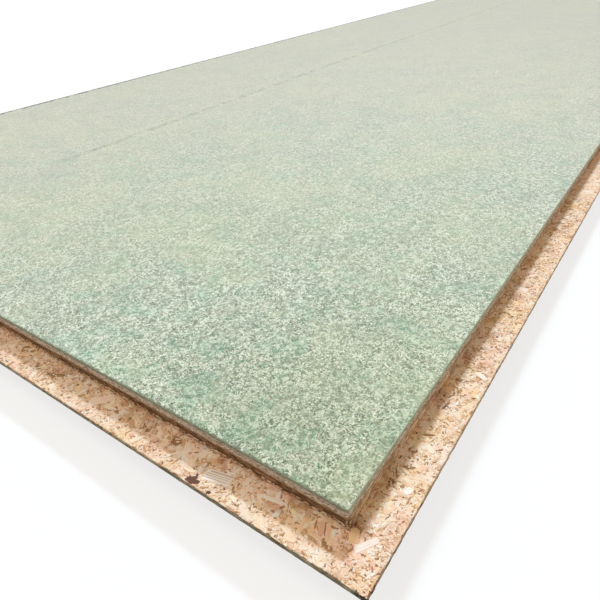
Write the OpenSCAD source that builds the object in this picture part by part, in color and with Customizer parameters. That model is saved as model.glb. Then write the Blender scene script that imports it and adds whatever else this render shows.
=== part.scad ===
// Chipboard floor panel: one pressed sheet with a machined edge all round.
// A tongue runs along one long edge and one short end, and meets itself at a square
// corner. The two opposite edges have the matching groove.
// Frame: +X along the length, towards the grooved end; +Y across the width, towards the
// grooved edge; +Z up out of the laid face. The origin is in the middle of the underside.

/* [Board] */
// Length of the laid face
face_length = 2400; // [1200:100:3600]
// Width of the laid face
face_width = 600; // [300:50:1200]
// Thickness of the sheet
thickness = 22; // [18:1:38]

/* [Tongue] */
// How far the tongue stands out from the upper lip
tongue_reach = 13; // [8:0.5:16]
// Depth of the tongue's top below the laid face
tongue_drop = 9; // [7:0.5:11]
// Thickness of the tongue where it leaves the sheet
tongue_root = 6; // [5:0.5:8]
// Thickness of the tongue at its tip, with the bevel
tongue_tip = 4; // [3.5:0.5:5]
// Bevel along the tip's lower arris, which leads it into the groove
tip_bevel = 1; // [0.5:0.1:1.5]
// Small chamfer along the tip's upper arris
tip_chamfer = 0.2; // [0.1:0.1:0.5]

/* [Shoulders] */
// Height of the square upper lip, which closes the joint at the laid face
lip_height = 4.2; // [2:0.2:6]
// How far the edge below the lip is cut back, down to the tongue
lip_relief = 0.5; // [0.1:0.1:1.5]
// How far the lower shoulder stays back from the lip, so that the lips meet first
lower_setback = 0.5; // [0.1:0.1:1.5]

/* [Groove fit] */
// Gap between the tongue and each cheek of the groove
cheek_clearance = 0.15; // [0.05:0.05:0.4]
// Gap between the tip of the tongue and the bottom of the groove
tip_clearance = 1; // [0.5:0.25:3]

/* [Hidden] */

overall_length = face_length + tongue_reach;
overall_width = face_width + tongue_reach;

// Places of the tongue-side lips: the tongues fill the rest of the box
lip_x = tongue_reach - overall_length / 2;
lip_y = tongue_reach - overall_width / 2;

// Heights above the underside
tongue_top_z = thickness - tongue_drop;
tip_bottom_z = tongue_top_z - tongue_tip;
root_bottom_z = tongue_top_z - tongue_root;
lip_bottom_z = thickness - lip_height;

groove_depth = tongue_reach + tip_clearance;
// The groove's lower cheek follows the slope of the tongue's underside
under_slope = (tongue_root - tongue_tip) / tongue_reach;
groove_end_z = root_bottom_z + under_slope * groove_depth - cheek_clearance;

// Tongue side of the section, from the underside up to the laid face.
// The first coordinate is 0 at the upper lip, and the second is the height.
function tongue_edge() = [
    [lower_setback, 0],
    [lower_setback, root_bottom_z - under_slope * lower_setback],
    [tip_bevel - tongue_reach, tip_bottom_z - under_slope * tip_bevel],
    [-tongue_reach, tip_bottom_z + tip_bevel],
    [-tongue_reach, tongue_top_z - tip_chamfer],
    [tip_chamfer - tongue_reach, tongue_top_z],
    [lip_relief, tongue_top_z],
    [lip_relief, lip_bottom_z],
    [0, lip_bottom_z],
    [0, thickness]
];

// Groove side of the section, from the laid face down to the underside
function groove_edge(face) = [
    [face, thickness],
    [face, tongue_top_z + cheek_clearance],
    [face - groove_depth, tongue_top_z + cheek_clearance],
    [face - groove_depth, groove_end_z],
    [face, root_bottom_z - cheek_clearance],
    [face, 0]
];

// Section across the sheet: a tongue on one edge and its groove on the other
module section(face)
    polygon(concat(tongue_edge(), groove_edge(face)));

// What the cutters leave along the two long edges
module long_edges_cut()
    translate([-overall_length / 2, 0, 0])
        rotate([90, 0, 90])
            linear_extrude(overall_length)
                translate([lip_y, 0])
                    section(face_width);

// What the cutters leave along the two short ends
module short_ends_cut()
    translate([0, overall_width / 2, 0])
        rotate([90, 0, 0])
            linear_extrude(overall_width)
                translate([lip_x, 0])
                    section(face_length);

// The sheet is what both passes leave
module floor_panel()
    color("#b9c1a8")
        intersection() {
            long_edges_cut();
            short_ends_cut();
        }

floor_panel();
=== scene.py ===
"""Looks of a chipboard floor panel: a pressed sheet with a dyed face and machined edges."""
import math
from collections import namedtuple

import bmesh
import bpy
import numpy as np
from mathutils import Euler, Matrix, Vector


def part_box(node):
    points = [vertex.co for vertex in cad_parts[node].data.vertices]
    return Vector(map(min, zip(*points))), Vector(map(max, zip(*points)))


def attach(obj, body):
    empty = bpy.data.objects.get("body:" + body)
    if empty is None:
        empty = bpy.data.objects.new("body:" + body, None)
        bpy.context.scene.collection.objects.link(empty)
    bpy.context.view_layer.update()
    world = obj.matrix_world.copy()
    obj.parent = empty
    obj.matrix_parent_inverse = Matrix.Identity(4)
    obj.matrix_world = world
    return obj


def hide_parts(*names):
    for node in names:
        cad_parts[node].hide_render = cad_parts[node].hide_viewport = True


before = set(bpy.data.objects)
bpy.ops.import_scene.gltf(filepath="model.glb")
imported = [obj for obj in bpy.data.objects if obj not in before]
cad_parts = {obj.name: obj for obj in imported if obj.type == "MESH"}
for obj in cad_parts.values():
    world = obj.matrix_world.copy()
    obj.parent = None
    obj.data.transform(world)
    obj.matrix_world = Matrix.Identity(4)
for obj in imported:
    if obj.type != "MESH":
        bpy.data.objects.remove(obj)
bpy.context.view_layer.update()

MM = 0.001
UP = Vector((0, 0, 1))

# --- Section of the sheet, read from its own corners --------------------------------------

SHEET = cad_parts["floor_panel"]
CORNERS = [tuple(round(place, 6) for place in v.co) for v in SHEET.data.vertices]
LOW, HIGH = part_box("floor_panel")
# Places and directions this close count as the same
NEAR = 0.01 * MM
SAME_WAY = 0.999


def span(axis, test):
    """First and last place along one axis of the sheet's corners that pass the test."""
    found = [corner[axis] for corner in CORNERS if test(corner)]
    return min(found), max(found)


# The laid face ends at the lips on the tongued side and at the grooved edges on the other
LIP_X, END_X = span(0, lambda c: c[2] > HIGH.z - NEAR)
LIP_Y, END_Y = span(1, lambda c: c[2] > HIGH.z - NEAR)
REACH = LIP_Y - LOW.y
# Heights of the lip's underside, of the tongue's top and of its tip
LIP_Z = span(2, lambda c: abs(c[1] - LIP_Y) < NEAR)[0]
LEDGE_Z = span(2, lambda c: c[1] < LIP_Y - NEAR)[1]
TIP_Z = span(2, lambda c: abs(c[1] - LOW.y) < NEAR)
# The wall between lip and tongue stands back from the lip
RELIEF = span(1, lambda c: abs(c[2] - LEDGE_Z) < NEAR and c[1] > LIP_Y)[0] - LIP_Y
# Each tongue stops where the groove of the next edge runs out past it
STOP_X = span(0, lambda c: abs(c[2] - LEDGE_Z) < NEAR and c[1] < LIP_Y - NEAR)[1]
STOP_Y = span(1, lambda c: abs(c[2] - LEDGE_Z) < NEAR and c[0] < LIP_X - NEAR)[1]

# --- Camera, light and floor ---------------------------------------------------------------

# The camera stands just outside the corner where the two tongues meet
CAMERA_FROM_CORNER = Vector((-70.0, -45.3, 123.9)) * MM
CAMERA_TURN = Euler(map(math.radians, (56.38, 4.22, -54.56)))
SENSOR = 36
LENS = 30.9
CLIP_START = 10 * MM

# Soft boxes: the way to each, its size and power, and its tint. The key comes over the far grooved
# end at 45 degrees as a long strip lying level, so the short end's shadow is crisp and the long
# edge's is soft. A weaker one stands high over the far long edge.
LAMP_AWAY = 12.0
KEY = (Vector((0.93, 0.43, 1.0)), (1.8, 0.9), 885, (0.764, 0.98, 1.19))
HIGH_FILL = (Vector((-0.05, 0.44, 0.9)), (4.0, 4.0), 320, (1.1, 1.02, 0.98))
# Warm room light fills the shade, and the cooler key brings the sum back to neutral
ROOM_LIGHT = (0.46, 0.41, 0.333)
# Half the floor's side, and how much of it glows where it is seen
FLOOR_REACH = 30
FLOOR_GLOW = 0.76


def linear(code):
    """An sRGB hex colour as Blender's linear colour, with an alpha from its last two digits."""
    levels = [int(code[i:i + 2], 16) / 255 for i in (1, 3, 5)]
    alpha = int(code[7:] or "FF", 16) / 255
    return [c / 12.92 if c <= 0.04045 else ((c + 0.055) / 1.055) ** 2.4 for c in levels] + [alpha]


def node(tree, kind, inputs=(), ramp=(), **settings):
    """Adds a node, makes its settings and links or fills its inputs.

    inputs go by name, or in order over the sockets that the settings leave in use. A node given
    as an input lends its first output in use.
    """
    made = tree.nodes.new("ShaderNode" + kind)
    for name, value in settings.items():
        setattr(made, name, value)
    if isinstance(inputs, dict):
        filled = [(made.inputs[name], value) for name, value in inputs.items()]
    else:
        filled = list(zip([socket for socket in made.inputs if socket.enabled], inputs))
    for socket, value in filled:
        if isinstance(value, bpy.types.Node):
            value = next(output for output in value.outputs if output.enabled)
        if isinstance(value, bpy.types.NodeSocket):
            tree.links.new(value, socket)
        else:
            socket.default_value = linear(value) if isinstance(value, str) else value
    for i, (place, code) in enumerate(ramp):
        stop = made.color_ramp.elements[i] if i < 2 else made.color_ramp.elements.new(place)
        stop.position, stop.color = place, linear(code)
    return made


# How a Mix node lays its second colour over its first: paint covers it, and a stain darkens it
PAINT = {"data_type": "RGBA"}
STAIN = {"data_type": "RGBA", "blend_type": "MULTIPLY"}


def new_tree(holder):
    """Turns nodes on for a material or world, empties its tree and returns it."""
    holder.use_nodes = True
    holder.node_tree.nodes.clear()
    return holder.node_tree


def seen_directly(tree):
    """1 for the camera and for what gloss and glass show of the surroundings."""
    path = node(tree, "LightPath").outputs
    glossy = node(tree, "Math", (path["Is Camera Ray"], path["Is Glossy Ray"]), operation="MAXIMUM")
    return node(tree, "Math", (glossy, path["Is Transmission Ray"]), operation="MAXIMUM")


def add(thing, name):
    """Puts a mesh, lamp or camera into the scene as an object."""
    made = bpy.data.objects.new(name, thing)
    bpy.context.scene.collection.objects.link(made)
    return made


def make_camera():
    data = bpy.data.cameras.new("camera")
    data.sensor_width, data.lens = SENSOR, LENS
    data.clip_start = CLIP_START
    camera = add(data, "camera")
    camera.location = Vector((LIP_X, LIP_Y, HIGH.z)) + CAMERA_FROM_CORNER
    camera.rotation_euler = CAMERA_TURN
    bpy.context.scene.camera = camera


def make_lamp(name, towards, size, watts, tint):
    data = bpy.data.lights.new(name, "AREA")
    data.shape = "RECTANGLE"
    data.size, data.size_y = size
    data.energy, data.color = watts, tint
    lamp = add(data, name)
    lamp.location = Vector((LIP_X, LIP_Y, HIGH.z)) + towards.normalized() * LAMP_AWAY
    lamp.rotation_euler = towards.to_track_quat("Z", "Y").to_euler()


def make_room():
    world = bpy.data.worlds.new("room")
    bpy.context.scene.world = world
    tree = new_tree(world)
    room = node(tree, "Background", {"Color": [*ROOM_LIGHT, 1]})
    white = node(tree, "Background", {"Color": "#FFFFFF"})
    mix = node(tree, "MixShader", (seen_directly(tree), room, white))
    node(tree, "OutputWorld", {"Surface": mix})


def make_floor():
    bm = bmesh.new()
    bmesh.ops.create_grid(bm, x_segments=1, y_segments=1, size=FLOOR_REACH)
    mesh = bpy.data.meshes.new("floor")
    bm.to_mesh(mesh)
    bm.free()
    material = bpy.data.materials.new("studio_paper")
    tree = new_tree(material)
    # Pale grey to the light that it sends up to the edges. Where it is seen most of it glows
    # white, so the object's shadow on it stays light.
    shown = node(tree, "Mix", (seen_directly(tree), "#C0C0C0", "#FFFFFF"), **PAINT)
    matt = node(tree, "BsdfDiffuse", {"Color": shown})
    glow = node(tree, "Emission", {"Color": "#FFFFFF", "Strength": 1.0})
    share = node(tree, "Math", (seen_directly(tree), FLOOR_GLOW), operation="MULTIPLY")
    paper = node(tree, "MixShader", (share, matt, glow))
    node(tree, "OutputMaterial", {"Surface": paper})
    mesh.materials.append(material)
    add(mesh, "floor")


# --- Materials -----------------------------------------------------------------------------

def in_mm(tree):
    """Object coordinates in millimetres."""
    place = node(tree, "TexCoord").outputs["Object"]
    return node(tree, "VectorMath", (place, 1 / MM), operation="SCALE")


def fibres(tree, mm, colour, size, turns, ramp):
    """Lays cut fibres over a colour, one family for each turn in degrees.

    size is a fibre's length, width and thickness in mm. The ramp gives each fibre its colour by
    chance, and its alpha says how strongly that colour covers.
    """
    for turn in turns:
        turned = node(tree, "Mapping", {"Vector": mm, "Rotation": (0, 0, math.radians(turn)), "Scale": size},
                      vector_type="TEXTURE")
        cells = node(tree, "TexVoronoi", {"Vector": turned, "Scale": 1.0}).outputs
        chance = node(tree, "SeparateColor", (cells["Color"],))
        shade = node(tree, "ValToRGB", (chance,), ramp=ramp)
        shade.color_ramp.interpolation = "CONSTANT"
        inside = node(tree, "MapRange", (cells["Distance"], 0.6, 0.35))
        amount = node(tree, "Math", (shade.outputs["Alpha"], inside), operation="MULTIPLY")
        colour = node(tree, "Mix", (amount, colour, shade), **PAINT)
    return colour


def spots(tree, mm, colour, rows):
    """Lays soft spots over a colour. A row is their size in mm, shift, colour, rarity and strength."""
    for size, shift, code, rarity, strength in rows:
        moved = node(tree, "VectorMath", (mm, (shift, shift / 2, 0)), operation="ADD")
        noise = node(tree, "TexNoise", {"Vector": moved, "Scale": 1 / size, "Detail": 2.0})
        amount = node(tree, "MapRange", (noise, rarity, rarity + 0.08, 0, strength))
        colour = node(tree, "Mix", (amount, colour, code), **PAINT)
    return colour


def finish_material(tree, colour, height, relief, depth, **sockets):
    """The shader of a matt wood surface.

    relief is how strongly its height shows, from 0 to 1, and depth is how deep it goes in metres.
    """
    bump = node(tree, "Bump", {"Strength": relief, "Distance": depth, "Height": height})
    inputs = {"Base Color": colour, "Normal": bump}
    inputs.update({name.replace("_", " "): value for name, value in sockets.items()})
    node(tree, "OutputMaterial", {"Surface": node(tree, "BsdfPrincipled", inputs)})


def nearer_side(tree, sides):
    """The lesser of a vector's distances along x and along y."""
    x, y, _ = node(tree, "SeparateXYZ", (sides,)).outputs
    return node(tree, "Math", (x, y), operation="MINIMUM")


def to_outer_arris(tree, mm):
    """How far in from the tongues' outer arrises, in mm."""
    sides = node(tree, "VectorMath", (mm, (LOW.x / MM, LOW.y / MM, 0)), operation="SUBTRACT")
    return nearer_side(tree, sides)


def browner_outer_arris(tree, mm, colour):
    """Browns the tongues' outer arrises, a millimetre or so wide in places."""
    patches = node(tree, "TexNoise", {"Vector": mm, "Scale": 1 / 6, "Detail": 3.0})
    wander = node(tree, "MapRange", (patches, 0.4, 0.7, -0.6, 1.2))
    inward = node(tree, "Math", (to_outer_arris(tree, mm), wander), operation="SUBTRACT")
    amount = node(tree, "MapRange", (inward, -0.2, 0.5, 0.4, 0))
    return node(tree, "Mix", (amount, colour, "#CDB394"), **STAIN)


def guide_line(tree, from_lips, chip):
    """How strongly a plain broken guide line covers the face, which takes its ink chip by chip."""
    along, across, _ = node(tree, "SeparateXYZ", (from_lips,)).outputs
    # It starts 145 mm from the end, and drifts from 361 to 371 mm from the long edge
    middle = node(tree, "MapRange", (along, 200, 700, 361, 371))
    aside = node(tree, "Math", (across, middle), operation="SUBTRACT")
    wavy = node(tree, "TexNoise", {"Vector": from_lips, "Scale": 1 / 12, "Detail": 2.0})
    wander = node(tree, "MapRange", (wavy, 0.2, 0.8, -3, 3))
    aside = node(tree, "Math", (aside, wander), operation="ADD")
    aside = node(tree, "Math", (aside,), operation="ABSOLUTE")
    # Dashes of 5 to 40 mm
    lengthwise = node(tree, "CombineXYZ", (along,))
    dashes = node(tree, "TexNoise", {"Vector": lengthwise, "Scale": 1 / 22, "Detail": 2.0})
    amount = node(tree, "MapRange", (dashes, 0.42, 0.52))
    uneven = node(tree, "TexNoise", {"Vector": lengthwise, "Scale": 1 / 8, "Detail": 1.0})
    for row in ((aside, 5.0, 1.5), (chip, 0.1, 0.5, 0.16, 0.42), (uneven, 0.3, 0.6, 0.3, 1),
                (along, 145, 150)):
        amount = node(tree, "Math", (amount, node(tree, "MapRange", row)), operation="MULTIPLY")
    return amount


def dyed_face():
    """Fine surface chips pressed with a green moisture-resistant binder and sanded.

    The sander cuts through the chips, so each shows its own shade: pale end grain, grey-green
    binder between, and a few chips that took up more dye or none. Wood dust in the pores gives
    the face a pale bloom when it is seen at a low angle.
    """
    material = bpy.data.materials.new("dyed_chip_face")
    tree = new_tree(material)
    mm = in_mm(tree)

    # Chips about half a millimetre across, each one shade of the binder's grey green
    chips = node(tree, "TexVoronoi", {"Vector": mm, "Scale": 1 / 0.5}).outputs
    chance = node(tree, "SeparateColor", (chips["Color"],))
    colour = node(tree, "ValToRGB", (chance,), ramp=(
        (0.0, "#3A4832"), (1.0, "#FBFFEE"), (0.2, "#718063"), (0.5, "#A4B694"), (0.8, "#CEDEBC")))
    # Fibres 1.3 mm long and 0.4 mm wide, pale and dark
    colour = fibres(tree, mm, colour, (1.3, 0.4, 0.4), (8, 44, 80, 116, 152), (
        (0.0, "#FCFFF0F0"), (1.0, "#4C5B43C0"), (0.15, "#A6B89600"), (0.885, "#4C5B43C0")))
    # Patches that took up more dye and drier ones, spots of strong dye, and bare wood
    colour = spots(tree, mm, colour, (
        (14, 0, "#7DB392", 0.53, 0.35), (11, 31, "#BDB9A0", 0.54, 0.25), (2.1, 29, "#F1F8E2", 0.52, 0.45),
        (1.9, 41, "#5E6E53", 0.52, 0.45), (2.6, 57, "#46A07A", 0.63, 0.45), (1.8, 83, "#F3CDBB", 0.66, 0.45),
        (2.4, 5, "#E6DDA6", 0.66, 0.3), (1.6, 19, "#86A2B0", 0.67, 0.3), (150, 40, "#DAD79C", 0.45, 0.1),
        (38, 71, "#D6D9AC", 0.5, 0.16), (30, 13, "#8B9C88", 0.52, 0.14)))

    # The face is a little greyer near the tongued corner, and farther away it is painted paler, as painted
    # sheen of a low view
    lips_corner = (LIP_X / MM, LIP_Y / MM, HIGH.z / MM)
    corner = node(tree, "VectorMath", (mm, lips_corner), operation="DISTANCE")
    greyer_near_corner = node(tree, "MapRange", (corner, 25, 120, 1, 0))
    colour = node(tree, "Mix", (greyer_near_corner, colour, "#F0EFE9"), **STAIN)
    # Painted sheen: paler with distance from the tongued corner
    dust_and_painted_sheen = node(tree, "MapRange", (corner, 150, 500, 0, 0.16))
    colour = node(tree, "Mix", (dust_and_painted_sheen, colour, "#FFEBD2"), **PAINT)
    first = node(tree, "VectorMath", (mm, (LIP_X / MM, LIP_Y / MM, 0)), operation="SUBTRACT")
    line = guide_line(tree, first, chance)
    colour = node(tree, "Mix", (line, colour, "#656B5C"), **PAINT)

    # The skin is dark and frayed along the arrises
    last = node(tree, "VectorMath", ((END_X / MM, END_Y / MM, 0), mm), operation="SUBTRACT")
    nearer = node(tree, "VectorMath", (first, last), operation="MINIMUM")
    # It reaches farther in along the short ends and less far along the long edges, as painted shade
    nearer = node(tree, "VectorMath", (nearer, (0.45, -0.15, 0)), operation="SUBTRACT")
    ragged = node(tree, "TexNoise", {"Vector": mm, "Scale": 1 / 1.2, "Detail": 2.0})
    wander = node(tree, "MapRange", (ragged, 0.35, 0.7, 0, 1.0))
    frayed = node(tree, "Math", (nearer_side(tree, nearer), wander), operation="SUBTRACT")
    frayed = node(tree, "MapRange", (frayed, -0.6, 0.1, 1, 0))
    colour = node(tree, "Mix", (frayed, colour, "#69745A"), **PAINT)
    # It is darker along the grooved arrises, 2 to 8 mm wide. There and on the guide line it has no bloom.
    patches = node(tree, "TexNoise", {"Vector": mm, "Scale": 1 / 7, "Detail": 3.0})
    wander = node(tree, "MapRange", (patches, 0.35, 0.65, -3, 3))
    inward = node(tree, "Math", (nearer_side(tree, last), wander), operation="ADD")
    darker_by_grooves = node(tree, "MapRange", (inward, 3, 7, 0.85, 0))
    colour = node(tree, "Mix", (darker_by_grooves, colour, "#454B3F"), **PAINT)
    bloom = node(tree, "Math", (node(tree, "MapRange", (inward, 3, 7)), line), operation="SUBTRACT")
    finish_material(tree, colour, chips["Distance"], 0.25, 0.05 * MM, Roughness=0.75,
                    Specular_IOR_Level=0.25, Sheen_Weight=bloom, Sheen_Roughness=0.5)
    return material


def cut_edge():
    """The three-layer mat where a cutter has gone through it.

    Chips lie flat, so a level cut shows their broad sides and an upright cut shows thin slivers.
    Within 3 or 4 mm of a face they are fine and pinkish, and in the core coarse, brown and open.
    """
    material = bpy.data.materials.new("cut_chip_edge")
    tree = new_tree(material)
    mm = in_mm(tree)
    height = node(tree, "SeparateXYZ", (mm,)).outputs["Z"]
    ragged = node(tree, "TexNoise", {"Vector": mm, "Scale": 1 / 1.4, "Detail": 3.0})
    wander = node(tree, "MapRange", (ragged, 0, 1, -0.8, 0.8))
    height = node(tree, "Math", (height, wander), operation="ADD")
    # Depth below the nearer face
    middle = (LOW.z + HIGH.z) / 2 / MM
    off_middle = node(tree, "Math", (height, middle), operation="SUBTRACT")
    distance = node(tree, "Math", (off_middle,), operation="ABSOLUTE")
    depth = node(tree, "Math", (middle, distance), operation="SUBTRACT")

    # Core flakes 4 mm across and half a millimetre thick, and fibres among them
    flat = node(tree, "Mapping", {"Vector": mm, "Scale": (4.0, 4.0, 0.5)}, vector_type="TEXTURE")
    flakes = node(tree, "TexVoronoi", {"Vector": flat, "Scale": 1.0}).outputs
    chance = node(tree, "SeparateColor", (flakes["Color"],))
    core = node(tree, "ValToRGB", (chance,), ramp=(
        (0.0, "#DDB891"), (1.0, "#FFEAD2"), (0.25, "#F1D0AE"), (0.7, "#FDE0C4")))
    core = fibres(tree, mm, core, (6.5, 1.8, 0.5), (35, 100, 160), (
        (0.0, "#FFECD6D0"), (1.0, "#C79C72D0"), (0.2, "#F2D3B200"), (0.75, "#E6C19BD0"),
        (0.93, "#C79C72D0")))
    core = fibres(tree, mm, core, (1.8, 0.4, 0.3), (15, 52, 88, 125, 162), (
        (0.0, "#FFEEDAC0"), (1.0, "#94704E90"), (0.14, "#F2D3B200"), (0.84, "#D9B28C90"),
        (0.965, "#94704E90")))
    # An upright cut goes through the flakes' ends, which are browner than their broad sides
    normal = node(tree, "NewGeometry").outputs["True Normal"]
    normal = node(tree, "VectorMath", (normal,), operation="ABSOLUTE")
    endways, _, upright = node(tree, "SeparateXYZ", (normal,)).outputs
    flake_ends = node(tree, "MapRange", (upright, 0.3, 0.8, 1, 0))
    core = node(tree, "Mix", (flake_ends, core, "#B29A7E"), **STAIN)
    # Surface chips 1 mm across and 0.4 mm thick
    thin = node(tree, "Mapping", {"Vector": mm, "Scale": (1.0, 1.0, 0.4)}, vector_type="TEXTURE")
    chips = node(tree, "TexVoronoi", {"Vector": thin, "Scale": 1.0}).outputs
    chance = node(tree, "SeparateColor", (chips["Color"],))
    fine = node(tree, "ValToRGB", (chance,), ramp=(
        (0.0, "#836C5A"), (1.0, "#F4E8DB"), (0.3, "#B6A491"), (0.7, "#D5C6B6")))

    in_core = node(tree, "MapRange", (depth, 3.3, 3.8))
    colour = node(tree, "Mix", (in_core, fine, core), **PAINT)
    # The dye goes a millimetre deep, and on the short ends its skin is darker, as painted shade
    short_end_shade = node(tree, "MapRange", (endways, 0.2, 0.4))
    skin = node(tree, "Mix", (short_end_shade, "#AFC09E", "#7A8469"), **PAINT)
    dyed = node(tree, "MapRange", (depth, 1.6, 0.3, 0, 0.85))
    colour = node(tree, "Mix", (dyed, colour, skin), **PAINT)
    colour = browner_outer_arris(tree, mm, colour)
    finish_material(tree, colour, flakes["Distance"], 0.4, 0.2 * MM, Roughness=0.85,
                    Specular_IOR_Level=0.3)
    return material


def softwood_flake(name, stain_and_shade):
    """Spruce and pine flakes sliced along the grain, dried and cut flush.

    Each keeps its own tone, from cream sapwood to brown and bark, with fine grain along its length.
    stained is how far resin, dust and browning show on them, from 0 to 1.
    """
    material = bpy.data.materials.new(name)
    tree = new_tree(material)
    tone = node(tree, "Attribute", attribute_name="wood").outputs["Color"]
    place = node(tree, "UVMap", uv_map="grain")
    # Growth rings show as lines about 0.35 mm apart
    along = node(tree, "Mapping", {"Vector": place, "Scale": (5.0, 0.35, 1)}, vector_type="TEXTURE")
    grain = node(tree, "TexNoise", {"Vector": along, "Scale": 1.0, "Detail": 2.0})
    ringed = node(tree, "MapRange", (grain, 0.48, 0.72, 0, 0.5))
    colour = node(tree, "Mix", (ringed, tone, "#E3C9AC"), **STAIN)
    # Resin and fine dust tint them in patches
    mm = in_mm(tree)
    patches = node(tree, "TexNoise", {"Vector": mm, "Scale": 1 / 9, "Detail": 2.0})
    resinous = node(tree, "MapRange", (patches, 0.5, 0.62, 0, 0.45 * stain_and_shade))
    colour = node(tree, "Mix", (resinous, colour, "#FCEBC2"), **STAIN)
    dust_and_painted_sheen = node(tree, "MapRange", (patches, 0.48, 0.38, 0, 0.5 * stain_and_shade))
    colour = node(tree, "Mix", (dust_and_painted_sheen, colour, "#FFEAE6"), **STAIN)
    # Other patches are browner. Beside the lip, where the key's shadow falls, they are stronger as painted
    # shade
    patches = node(tree, "TexNoise", {"Vector": mm, "Scale": 1 / 5.5, "Detail": 2.0})
    strength = node(tree, "MapRange", (to_outer_arris(tree, mm), 4, 7, 0.35 * stain_and_shade, 0.65 * stain_and_shade))
    browned = node(tree, "MapRange", (patches, 0.52, 0.66))
    browned = node(tree, "Math", (browned, strength), operation="MULTIPLY")
    colour = node(tree, "Mix", (browned, colour, "#C9B092"), **STAIN)
    colour = browner_outer_arris(tree, mm, colour)
    finish_material(tree, colour, grain, 0.3, 0.05 * MM, Roughness=0.8, Specular_IOR_Level=0.3)
    return material


# --- The sheet -----------------------------------------------------------------------------

# The cut faces lie this much under the true section. The chips in them fill it up to the section
# or nearly so, and none stands past it.
BED = 0.2 * MM
# Handling has worn the tongue's lower arris back by this height, and rounded the upright corner
# of the lips and the arrises of the laid face
WORN = 0.45 * MM
WORN_CORNER = 0.8 * MM
WORN_ARRIS = 0.3 * MM
# A face that carries chips may reach this far below the upright part of the tip
UNDER_TIP = 0.4 * MM


def carries_chips(face):
    """True for the machined faces between the lip and the underside of the tongue's tip."""
    heights = [v.co.z for v in face.verts]
    inside = min(heights) > TIP_Z[0] - UNDER_TIP and max(heights) < LIP_Z + NEAR
    tongue_side = any(v.co.x < LIP_X + MM or v.co.y < LIP_Y + MM for v in face.verts)
    looks_down = face.normal.z <= -0.5
    return inside and tongue_side and not looks_down


def recess(bm, depth_of):
    """Moves each face inwards by its own depth, and each corner to where its faces then meet."""
    moves = []
    for v in bm.verts:
        normals, depths = [], []
        for face in v.link_faces:
            if all(face.normal.dot(seen) < SAME_WAY for seen in normals):
                normals.append(face.normal.copy())
                depths.append(-depth_of(face))
        moves.append(np.linalg.lstsq(np.array(normals), np.array(depths), rcond=None)[0])
    for v, move in zip(bm.verts, moves):
        v.co += Vector(move)


def soften(bm):
    """Rounds the upright corner of the lips, and takes the sharpness off the laid face's arrises."""
    corner = [edge for edge in bm.edges
              if all(abs(v.co.x - LIP_X) < NEAR and abs(v.co.y - LIP_Y) < NEAR for v in edge.verts)]
    bmesh.ops.bevel(bm, geom=corner, offset=WORN_CORNER, segments=4, profile=0.5, affect="EDGES",
                    material=-1)
    bm.normal_update()
    arris = [edge for edge in bm.edges if all(v.co.z > HIGH.z - NEAR for v in edge.verts)
             and edge.calc_face_angle() > 1]
    bmesh.ops.bevel(bm, geom=arris, offset=WORN_ARRIS, segments=2, profile=0.5, affect="EDGES",
                    material=-1)


def make_sheet():
    bm = bmesh.new()
    bm.from_mesh(SHEET.data)
    bmesh.ops.remove_doubles(bm, verts=bm.verts, dist=NEAR)
    bmesh.ops.dissolve_limit(bm, angle_limit=math.radians(0.5), verts=bm.verts, edges=bm.edges)
    for v in bm.verts:
        if abs(v.co.z - TIP_Z[0]) < NEAR and min(v.co.x - LIP_X, v.co.y - LIP_Y) < -NEAR:
            v.co.z += WORN
    bm.normal_update()
    recess(bm, lambda face: BED if carries_chips(face) else 0)
    soften(bm)
    bm.normal_update()
    for face in bm.faces:
        middle = face.calc_center_median().z
        pressed = abs(face.normal.z) > SAME_WAY and (middle > HIGH.z - MM or middle < LOW.z + MM)
        face.material_index = 0 if pressed else 1
    mesh = bpy.data.meshes.new("pressed_sheet")
    bm.to_mesh(mesh)
    bm.free()
    mesh.materials.append(dyed_face())
    mesh.materials.append(cut_edge())
    sheet = add(mesh, "pressed_sheet")
    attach(sheet, "root")
    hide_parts("floor_panel")


# --- Flakes and slivers in the cut edges ---------------------------------------------------

# Tones from the rarest dark to the rarest pale, as (share below it, colour)
LEDGE_WOODS = ((0.0, "#C08E66"), (0.06, "#DFB48E"), (0.18, "#FFDCBA"), (0.6, "#FFE8CE"), (0.9, "#FFEEDA"),
               (1.0, "#FFF0DE"))
FINE_WOODS = ((0.0, "#9C6F50"), (0.14, "#D6A884"), (0.36, "#FBD9BA"), (0.8, "#FFE8D2"), (1.0, "#FFF2E4"))
# Tones for the torn flakes in the key's shadow beside the lip; the darker ones are painted shade
TORN_SHADED_WOODS = ((0.0, "#9A7852"), (0.12, "#BE9A70"), (0.3, "#E6C49C"), (0.5, "#FFE8C8"), (0.8, "#FFF6E4"),
              (1.0, "#FFFCF4"))
# The walls under the lips are one wood in two copies, as painted shade: the short end's tones are darker and
# the long edge's paler
SHADED_WALL = ((0.0, "#5A4432"), (0.3, "#765A44"), (0.7, "#947658"), (1.0, "#B89A74"))
PALE_WALL = ((0.0, "#927A62"), (0.2, "#C8AE92"), (0.6, "#F0DCC0"), (1.0, "#FFF4E2"))
FINE_WALL = ((0.0, "#A89684"), (0.4, "#C9BAA8"), (1.0, "#E8DCCC"))
CRUMBS = ((0.0, "#B08660"), (0.1, "#D8AE88"), (0.26, "#FFDCBA"), (0.6, "#FFEAD4"), (1.0, "#FFF8EE"))
TIP_WOODS = ((0.0, "#7C7768"), (0.3, "#B9AC9A"), (0.7, "#D9CBBA"), (1.0, "#F0E4D4"))
TIP_GREENS = ((0.0, "#666C5E"), (0.6, "#9AA08E"), (1.0, "#BEC0AC"))
TIP_BLACKS = ((0.0, "#211D1A"), (1.0, "#4C463E"))
SPECKS = ((0.0, "#7E5644"), (1.0, "#CB9278"))
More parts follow.
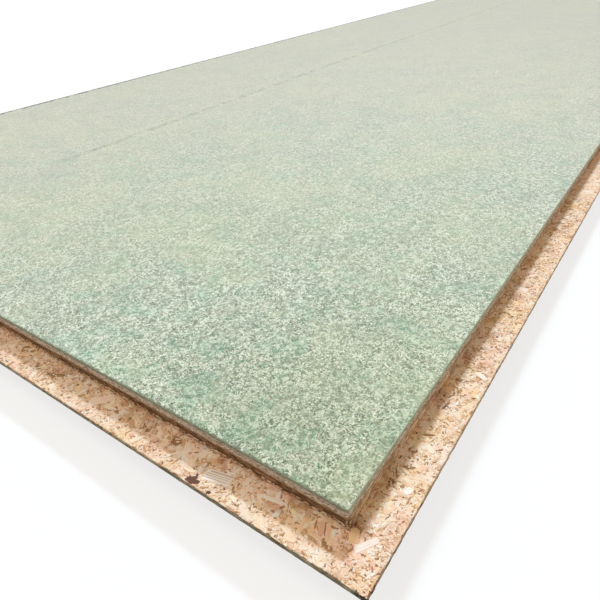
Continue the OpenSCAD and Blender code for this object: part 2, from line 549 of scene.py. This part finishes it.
# Gaps are slivers in browns, painted shade standing in for the shaded voids between flakes
GAPS = ((0.0, "#7C5A3E"), (1.0, "#D2AC86"))

# The finest chips go only this far from the lips' corner
FINE_REACH = 260 * MM

Strip = namedtuple("Strip", "corner along across size reach")
Strip.__doc__ = """A flat strip of a cut edge: a corner, the ways along and across it, and its size.

reach is the least and greatest place along it that a chip may touch."""


class Edge:
    """A tongued edge: u runs along it, w outwards from the lip and z up.

    Its chips are strewn from start to stop and may reach from start to reach_to. The lips' corner
    is at corner, and away is 1 or -1 for the way that leads from there along the edge.
    """

    def __init__(self, outwards, lip, start, stop, reach_to, corner, away):
        self.out = Vector(outwards)
        self.along = UP.cross(self.out)
        self.lip, self.start, self.stop, self.reach_to = lip, start, stop, reach_to
        self.corner, self.away = corner, away

    def strip(self, across, w, z, width, first=None, last=None):
        """A strip as long as the edge, or from first to last away from the lips' corner."""
        start, stop, limits = self.start, self.stop, (self.start, self.reach_to)
        if last is not None:
            start, stop = sorted((self.corner + self.away * first, self.corner + self.away * last))
        # Chips of a strip that starts at the lips' corner don't reach past it
        if first == 0:
            limits = start, stop
        corner = self.along * start + self.out * (self.lip + w) + UP * z
        return Strip(corner, self.along, across, (stop - start, width), [limit - start for limit in limits])

    def ledge(self, first=None, last=None, width=None):
        return self.strip(-self.out, REACH, LEDGE_Z, width or REACH + RELIEF, first, last)

    def inner_ledge(self, width):
        """The part of the tongue's top that lies within a width of the lip, near the corner."""
        return self.strip(-self.out, width, LEDGE_Z, width + RELIEF, 0, FINE_REACH)

    def tip(self, last):
        """The tongue's upright tip, from its outer corner to a place away from the lips' corner."""
        low = TIP_Z[0] + WORN
        return self.strip(UP, REACH, low, TIP_Z[1] - low, -REACH, last)

    def top_of_tip(self, width, first, last):
        """The uppermost part of the tip, as wide as given, from first to last away from the lips' corner."""
        return self.strip(UP, REACH, TIP_Z[1] - width, width, first, last)

    def wall_strip(self, low, high, last):
        """The wall between two heights, as far as last away from the lips' corner."""
        return self.strip(UP, -RELIEF, low, high - low, 0, last)

    def stop_away(self):
        """How far the tongue runs from the lips' corner."""
        return max(abs(self.start - self.corner), abs(self.stop - self.corner))


# The long edge takes the corner square, and the short end's chips may reach into it
LONG_EDGE = Edge((0, -1, 0), -LIP_Y, LOW.x, STOP_X, STOP_X, LIP_X, 1)
SHORT_END = Edge((-1, 0, 0), -LIP_X, -STOP_Y, -LIP_Y, -LOW.y, -LIP_Y, -1)


# A chip's foot is this much longer and wider than its top
FLARE = 1.1


def chip_shape(corners, roundness, ragged, seed):
    """A chip a unit long, wide and thick with its top at 0: its points, and its faces as lists.

    roundness is 1 for an ellipse and nears 0 for a rectangle. A corner lies at a share of its
    full distance from the middle, by chance between ragged and 1.
    """
    rng = np.random.default_rng(seed)
    bm = bmesh.new()
    bmesh.ops.create_circle(bm, cap_ends=True, segments=corners, radius=1)
    for v in bm.verts:
        reach = 0.5 * rng.uniform(ragged, 1.0)
        v.co = [math.copysign(abs(place) ** roundness, place) * reach for place in v.co.xy] + [0]
    grown = bmesh.ops.extrude_face_region(bm, geom=bm.faces[:])["geom"]
    for v in grown:
        if isinstance(v, bmesh.types.BMVert):
            v.co = (v.co.x * FLARE, v.co.y * FLARE, -1)
    bmesh.ops.recalc_face_normals(bm, faces=bm.faces)
    bm.verts.index_update()
    points = np.array([v.co for v in bm.verts])
    faces = [[v.index for v in face.verts] for face in bm.faces]
    bm.free()
    return points, faces


FLAKES = [chip_shape(8, 0.6, 0.75, seed) for seed in (1, 2, 3, 4)]
SLIVERS = [chip_shape(6, 0.85, 0.7, seed) for seed in (5, 6, 7)]
BROAD = [chip_shape(12, 0.25, 0.9, seed) for seed in (8, 9)]
BARK = [chip_shape(18, 0.9, 0.5, seed) for seed in (10, 11)]


def toned(woods, chances):
    """Colours from a row of tones, by chance from 0 to 1."""
    shares = [share for share, code in woods]
    colours = np.array([linear(code) for share, code in woods])
    return np.stack([np.interp(chances, shares, colours[:, channel]) for channel in range(4)], -1)


def lay_chips(shape, strip, u, w, long, wide, turn, top, tilt, grain_shift, colours):
    """Lays copies of one chip on a strip, one for each entry of the arrays given."""
    points, faces = shape
    local_x = points[None, :, 0] * long[:, None]
    local_y = points[None, :, 1] * wide[:, None]
    cos, sin = np.cos(turn)[:, None], np.sin(turn)[:, None]
    place_u = np.clip(u[:, None] + cos * local_x - sin * local_y, *strip.reach)
    place_w = np.clip(w[:, None] + sin * local_x + cos * local_y, 0, strip.size[1])
    place_n = np.minimum(top[:, None] + tilt[:, None] * local_x, 0) + points[None, :, 2] * BED
    ways = np.array([strip.along, strip.across, strip.along.cross(strip.across)])
    places = np.array(strip.corner) + np.stack([place_u, place_w, place_n], -1) @ ways
    grain = np.stack([local_x, local_y], -1) / MM + grain_shift[:, None, :]
    starts = range(0, len(u) * len(points), len(points))
    face_list = [[i + start for i in face] for start in starts for face in faces]
    return places.reshape(-1, 3), face_list, np.repeat(colours, len(points), 0), grain.reshape(-1, 2)


# How much of its length times its width a chip fills, its steepest slope along its bed, and how
# far apart in mm the pieces of grain that two chips show may lie
CHIP_FILL = 0.8
CHIP_SLOPE = 0.01
GRAIN_REACH = 50


def scatter(rng, shapes, strip, share, length, width, turn, top, woods):
    """Chips strewn over a strip.

    share is how much of the strip they would cover, laid side by side. length, width and top are
    each a low and a high value in mm, and top is the height of a chip's face. turn is how far
    they may swing from the edge's own line, in radians.
    """
    area = math.sqrt(length[0] * length[1] * width[0] * width[1]) * CHIP_FILL * MM * MM
    count = int(strip.size[0] * strip.size[1] * share / area / len(shapes))
    batches = []
    for shape in shapes:
        u = rng.uniform(0, strip.size[0], count)
        w = rng.uniform(0, strip.size[1], count)
        long = np.exp(rng.uniform(*np.log(length), count)) * MM
        wide = np.exp(rng.uniform(*np.log(width), count)) * MM
        angle = rng.uniform(-turn, turn, count)
        height = rng.uniform(*top, count) * MM
        tilt = rng.uniform(-CHIP_SLOPE, CHIP_SLOPE, count)
        shift = rng.uniform(0, GRAIN_REACH, (count, 2))
        colours = toned(woods, rng.uniform(0, 1, count))
        batches.append(lay_chips(shape, strip, u, w, long, wide, angle, height, tilt, shift, colours))
    return batches


# From one placed chip to the next, the step up in height and the shift in mm to other grain
OVERLAP_STEP = 0.001 * MM
GRAIN_STEP = (7.0, 3.0)


def placed(edge, shapes, rows):
    """Single chips on a ledge, each where it belongs.

    A row is the distance away from the lips' corner along the edge, the distance out from the lip,
    length and width, all in mm, the turn in degrees that swings its far end outwards, and the
    colour. Later rows lie over earlier ones.
    """
    strip = edge.ledge()
    batches = []
    for i, (along, out, long, wide, turn, code) in enumerate(rows):
        u = np.array([edge.corner + edge.away * along * MM - edge.start])
        w = np.array([REACH - out * MM])
        angle = np.array([math.radians(-edge.away * turn)])
        top = np.array([(i - len(rows)) * OVERLAP_STEP])
        shift = np.array([GRAIN_STEP]) * i
        batches.append(lay_chips(shapes[i % len(shapes)], strip, u, w, np.array([long * MM]),
                                 np.array([wide * MM]), angle, top, np.zeros(1), shift,
                                 np.array([linear(code)])))
    return batches


def make_chips(name, batches, material):
    """Joins batches of chips into one piece."""
    points, faces, colours, grains = [], [], [], []
    before = 0
    for place, face_list, colour, grain in batches:
        points.append(place)
        faces += [[i + before for i in face] for face in face_list]
        colours.append(colour)
        grains.append(grain)
        before += len(place)
    mesh = bpy.data.meshes.new(name)
    mesh.from_pydata(np.concatenate(points), [], faces)
    tones = mesh.attributes.new("wood", "FLOAT_COLOR", "POINT")
    tones.data.foreach_set("color", np.concatenate(colours).ravel())
    corner = np.empty(len(mesh.loops), int)
    mesh.loops.foreach_get("vertex_index", corner)
    mesh.uv_layers.new(name="grain").data.foreach_set("uv", np.concatenate(grains)[corner].ravel())
    mesh.materials.append(material)
    piece = add(mesh, name)
    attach(piece, "root")


# How far chips may swing from the edge's own line, in radians
ANY_WAY = math.pi
LEVEL = 0.12
# Beside the lip, over this width, the ledge carries torn flakes in tones made for the key's shadow, which is
# about as wide on the short end. Their darker tones are painted shade.
TORN_WIDTH = 8 * MM


def ledge_flakes(edge, seed):
    """Flat flakes on a tongue's top: broad ones lowest, and narrow ones between and over them."""
    rng = np.random.default_rng(seed)
    ledge = edge.ledge()
    batches = scatter(rng, BROAD, ledge, 0.25, (4, 11), (1.2, 3.6), ANY_WAY, (-0.22, -0.12), LEDGE_WOODS)
    batches += scatter(rng, FLAKES, ledge, 0.25, (2, 6.5), (0.5, 1.4), ANY_WAY, (-0.18, -0.06), LEDGE_WOODS)
    # Cut fibres close the arris
    arris = edge.ledge(width=0.7 * MM)
    batches += scatter(rng, FLAKES, arris, 1.0, (2.5, 6), (0.5, 1.2), LEVEL, (-0.12, -0.02), LEDGE_WOODS)
    return batches


def corner_flakes(edge, seed, coarse, crumbs):
    """Small flakes, crumbs, specks and gaps for the part of a ledge near the corner.

    coarse scales the flakes beside the lip, and crumbs is the share that crumbs cover.
    """
    rng = np.random.default_rng(seed)
    near = edge.ledge(-REACH, FINE_REACH)
    torn = edge.inner_ledge(TORN_WIDTH)
    batches = scatter(rng, FLAKES, torn, 0.8, (1.8 * coarse, 6 * coarse), (0.5 * coarse, 1.5 * coarse),
                      ANY_WAY, (-0.16, -0.05), TORN_SHADED_WOODS)
    batches += scatter(rng, BROAD, torn, 0.12, (4, 9), (1.4, 3.2), ANY_WAY, (-0.12, -0.05), TORN_SHADED_WOODS)
    # Pale fibres lie along the foot of the wall, paler as painted light against the crease's shade
    batches += scatter(rng, SLIVERS, edge.inner_ledge(1 * MM), 0.7, (1.2, 4), (0.3, 0.8), 0.5,
                       (-0.08, -0.04), LEDGE_WOODS)
    batches += scatter(rng, BROAD, near, 0.07, (4, 8), (1.4, 2.6), ANY_WAY, (-0.06, -0.04), LEDGE_WOODS)
    batches += scatter(rng, FLAKES, near, 0.16, (0.7, 2.6), (0.25, 0.8), ANY_WAY, (-0.1, -0.02), FINE_WOODS)
    batches += scatter(rng, FLAKES, near, crumbs, (0.8, 2.4), (0.35, 0.9), ANY_WAY, (-0.14, -0.02), CRUMBS)
    batches += scatter(rng, FLAKES, near, 0.006, (0.4, 1.3), (0.25, 0.6), ANY_WAY, (-0.02, -0.01), SPECKS)
    batches += scatter(rng, SLIVERS, near, 0.015, (0.5, 1.6), (0.2, 0.35), ANY_WAY, (-0.02, -0.01), GAPS)
    return batches


def wall_slivers(edge, seed, woods, fine):
    """Edges of flakes in the upright wall under the lip, with pale fibres at its foot.

    The fine chips of the lip go on for the height given under it.
    """
    rng = np.random.default_rng(seed)
    whole = edge.wall_strip(LEDGE_Z, LIP_Z, edge.stop_away())
    near = edge.wall_strip(LEDGE_Z, LIP_Z, FINE_REACH)
    foot = edge.wall_strip(LEDGE_Z, LEDGE_Z + 1.3 * MM, FINE_REACH)
    under_lip = edge.wall_strip(LIP_Z - fine, LIP_Z, FINE_REACH)
    batches = scatter(rng, SLIVERS, whole, 0.9, (4, 12), (0.4, 1.0), LEVEL, (-0.14, -0.08), woods)
    batches += scatter(rng, SLIVERS, near, 1.0, (1.5, 6), (0.35, 0.9), 0.25, (-0.1, -0.05), woods)
    # Painted light: the foot's pale slivers lighten the crease
    batches += scatter(rng, SLIVERS, foot, 0.8, (0.8, 2.6), (0.3, 0.8), 0.5, (-0.04, 0), LEDGE_WOODS)
    batches += scatter(rng, SLIVERS, under_lip, 1.2, (1, 3), (0.3, 0.6), LEVEL, (-0.04, 0), FINE_WALL)
    return batches


def tip_slivers(edge, seed, turn, pale_before, pale_after):
    """Edges of flakes in the tongue's tip, stained green near the corner and black right at it.

    The tip's upper part is paler. Its height changes where the edge is turn away from the corner.
    """
    rng = np.random.default_rng(seed)
    stop = edge.stop_away()
    whole, near, black_at_corner = edge.tip(stop), edge.tip(FINE_REACH), edge.tip(4 * MM - REACH)
    batches = scatter(rng, SLIVERS, whole, 1.2, (3, 11), (0.35, 0.9), LEVEL, (-0.12, -0.05), TIP_WOODS)
    batches += scatter(rng, SLIVERS, near, 0.7, (1, 4), (0.3, 0.8), LEVEL, (-0.04, -0.02), TIP_GREENS)
    for strip in (edge.top_of_tip(pale_before, -REACH, turn), edge.top_of_tip(pale_after, turn, stop)):
        batches += scatter(rng, SLIVERS, strip, 0.9, (1.5, 5), (0.3, 0.6), LEVEL, (-0.02, 0), LEDGE_WOODS)
    batches += scatter(rng, SLIVERS, black_at_corner, 1.6, (1, 3), (0.3, 0.8), LEVEL, (-0.01, 0), TIP_BLACKS)
    return batches


# Flakes, gaps and bark that stand out, each as placed() takes it. On the short end the second
# broad flake is pale, with four dark lines of grain over it.
SHORT_END_BROAD = (
    (105.2, 4.3, 9.6, 4.2, 50, "#FFE4CC"), (43.4, 6.4, 9.6, 4.2, 13, "#FFF7EC"),
    (43.1, 4.9, 8.6, 0.5, 13, "#CDBAA6"), (43.4, 5.9, 9.0, 0.3, 13, "#D6C6B4"),
    (43.5, 6.7, 9.2, 0.3, 13, "#DDCFBE"), (43.6, 7.6, 8.8, 0.3, 13, "#D6C6B4"))
SHORT_END_CHIPS = (
    (6.9, 3.3, 5.2, 2.2, -64, "#EFC4A2"), (4.5, 3.4, 7.0, 1.8, -62, "#FAD2AE"),
    (9.2, 2.2, 6.5, 1.3, 57, "#FFE3C6"), (24.6, 3.6, 9.2, 1.5, 11, "#FFF4E4"),
    (12.7, 10.4, 4.4, 2.8, 8, "#FFE0BE"), (16.6, 3.3, 2.4, 1.5, -8, "#FFEEC0"),
    (34.3, 9.6, 3.2, 1.7, -18, "#FFF3D6"), (53.6, 9.2, 5.4, 1.7, 5, "#FFE6C6"),
    (78.3, 9.9, 5.8, 2.0, 66, "#FFE9CB"), (81.6, 9.6, 2.2, 1.4, 10, "#FDBB9F"),
    (85.5, 6.2, 4.8, 2.7, -39, "#DDB48C"), (115.9, 5.5, 4.8, 1.4, 80, "#FFF6E6"),
    (118.5, 1.5, 3.2, 1.4, 70, "#FFF2DE"))
# These gaps are painted shade of voids between the flakes
SHORT_END_GAPS = (
    (5.8, 3.0, 5.4, 0.5, -63, "#B88A66"), (8.9, 3.0, 3.6, 0.8, -70, "#B98F6C"))
SHORT_END_BARK = (
    (50.0, 11.5, 6.0, 3.0, 5, "#704C3E"), (49.6, 9.6, 3.0, 1.0, -60, "#7A5444"),
    (42.3, 12.1, 1.7, 1.1, 30, "#6A483A"))
LONG_EDGE_BROAD = (
    (-0.8, 6.1, 7.4, 2.1, 32, "#FFEFE2"), (79.1, 9.3, 5.0, 2.0, -64, "#FFF4E0"))
LONG_EDGE_CHIPS = (
    (-0.2, 2.0, 5.0, 3.2, -19, "#FFD9AA"), (20.5, 8.1, 3.6, 2.6, 22, "#FFFBF0"),
    (38.2, 7.2, 4.6, 3.0, -60, "#FFF0D8"), (67.8, 12.0, 3.2, 1.5, -38, "#FFF6E4"))
# These gaps, and the holes at the foot of the wall, are painted shade of voids
LONG_EDGE_GAPS = (
    (25.0, 2.1, 4.8, 0.5, -32, "#A07C58"), (58.6, 4.8, 6.6, 0.5, -56, "#B08A66"),
    (104.9, 6.8, 1.3, 1.2, 0, "#8A6848"), (30.8, 0.8, 1.0, 0.7, 0, "#7A583E"),
    (42.1, 0.8, 0.9, 0.7, 0, "#7A583E"), (2.9, 0.5, 1.4, 1.0, 0, "#8A5E4C"))


make_camera()
make_lamp("key", *KEY)
make_lamp("high_fill", *HIGH_FILL)
make_room()
make_floor()
make_sheet()
flake = softwood_flake("softwood_flake", 1.0)
fresh_flake = softwood_flake("fresh_softwood_flake", 0.0)
make_chips("long_edge_flakes", ledge_flakes(LONG_EDGE, 11), flake)
make_chips("long_edge_fine_flakes", corner_flakes(LONG_EDGE, 12, 1.0, 0.5), flake)
make_chips("long_edge_wall_slivers", wall_slivers(LONG_EDGE, 13, PALE_WALL, 1.2 * MM), flake)
make_chips("long_edge_tip_slivers", tip_slivers(LONG_EDGE, 14, 25 * MM, 1.2 * MM, 1.9 * MM), flake)
make_chips("long_edge_marked_flakes", placed(LONG_EDGE, BROAD, LONG_EDGE_BROAD)
           + placed(LONG_EDGE, FLAKES, LONG_EDGE_CHIPS) + placed(LONG_EDGE, SLIVERS, LONG_EDGE_GAPS),
           fresh_flake)
make_chips("short_end_flakes", ledge_flakes(SHORT_END, 15), flake)
make_chips("short_end_fine_flakes", corner_flakes(SHORT_END, 16, 1.6, 0.22), flake)
make_chips("short_end_wall_slivers", wall_slivers(SHORT_END, 17, SHADED_WALL, 0.2 * MM), flake)
make_chips("short_end_tip_slivers", tip_slivers(SHORT_END, 18, 60 * MM, 0.2 * MM, 0.9 * MM), flake)
make_chips("short_end_marked_flakes", placed(SHORT_END, BROAD, SHORT_END_BROAD)
           + placed(SHORT_END, FLAKES, SHORT_END_CHIPS) + placed(SHORT_END, SLIVERS, SHORT_END_GAPS)
           + placed(SHORT_END, BARK, SHORT_END_BARK), fresh_flake)

bpy.context.scene.view_settings.view_transform = "Standard"
